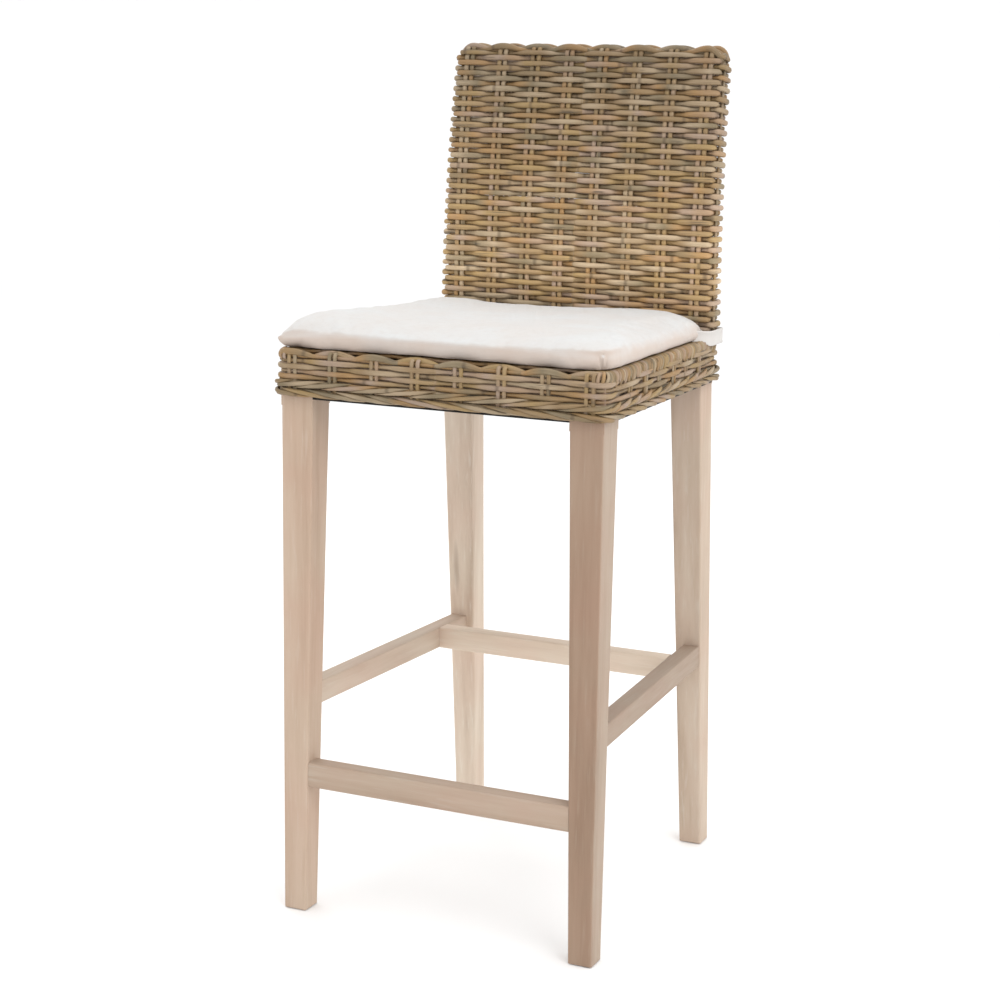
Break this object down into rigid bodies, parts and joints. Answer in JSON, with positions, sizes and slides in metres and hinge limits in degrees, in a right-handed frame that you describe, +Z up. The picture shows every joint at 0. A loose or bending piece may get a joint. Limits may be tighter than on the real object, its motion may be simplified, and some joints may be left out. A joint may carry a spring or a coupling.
{
  "type": "bar stool with footrest",
  "caption": "High-backed bar stool: splayed square wooden legs, stretchers and a front footrest rail, woven rattan seat box and back, and a strapped seat cushion.",
  "frame": {"origin": "on the floor, in the middle of the footprint of the whole stool", "axes": "+Z up, -Y towards the front of the seat, +X to the right as seen from the front; the stool is a mirror image of itself across X = 0"},
  "size_m": [0.473, 0.526, 1.155],
  "materials": {
    "wood_frame": "limewashed, matt, soft-edged hardwood",
    "dowel_wood": "plain beech, unfinished",
    "rattan": "grey-washed woven rattan",
    "cotton": "off-white cotton canvas",
    "foam": "upholstery foam",
    "hook_and_loop": "off-white hook-and-loop tape",
    "dust_cloth": "black non-woven cloth",
    "glide_plastic": "matt nylon",
    "steel": "zinc-plated"
  },
  "bodies": {
    "root": {"front_leg_left": "wood_frame", "front_leg_right": "wood_frame", "rear_post_left": "wood_frame", "rear_post_right": "wood_frame", "glide_front_left": "glide_plastic", "glide_front_right": "glide_plastic", "glide_rear_left": "glide_plastic", "glide_rear_right": "glide_plastic", "footrest_rail": "wood_frame", "side_stretcher_left": "wood_frame", "side_stretcher_right": "wood_frame", "rear_stretcher": "wood_frame", "seat_rail_front": "wood_frame", "seat_rail_rear": "wood_frame", "seat_rail_left": "wood_frame", "seat_rail_right": "wood_frame", "corner_block_front_left": "wood_frame", "corner_block_front_right": "wood_frame", "corner_block_rear_left": "wood_frame", "corner_block_rear_right": "wood_frame", "corner_screws": "steel", "seat_slat_front": "wood_frame", "seat_slat_middle": "wood_frame", "seat_slat_rear": "wood_frame", "stretcher_dowels": "dowel_wood", "seat_rail_dowels": "dowel_wood", "back_rail_dowels": "dowel_wood", "back_top_rail": "wood_frame", "back_middle_rail": "wood_frame", "back_lower_rail": "wood_frame", "back_canes_front": "rattan", "back_canes_rear": "rattan", "back_weave_front": "rattan", "back_weave_rear": "rattan", "back_weave_left": "rattan", "back_weave_right": "rattan", "back_border": "rattan", "seat_canes": "rattan", "seat_weave_front": "rattan", "seat_weave_rear": "rattan", "seat_weave_left": "rattan", "seat_weave_right": "rattan", "seat_rim_front": "rattan", "seat_rim_rear": "rattan", "seat_rim_left": "rattan", "seat_rim_right": "rattan", "seat_braid_front": "rattan", "seat_braid_rear": "rattan", "seat_braid_left": "rattan", "seat_braid_right": "rattan", "seat_deck": "rattan", "dust_cover": "dust_cloth", "cushion_cover": "cotton", "cushion_core": "foam", "strap_left": "cotton", "strap_right": "cotton", "strap_tab": "hook_and_loop"}
  },
  "joints": []
}
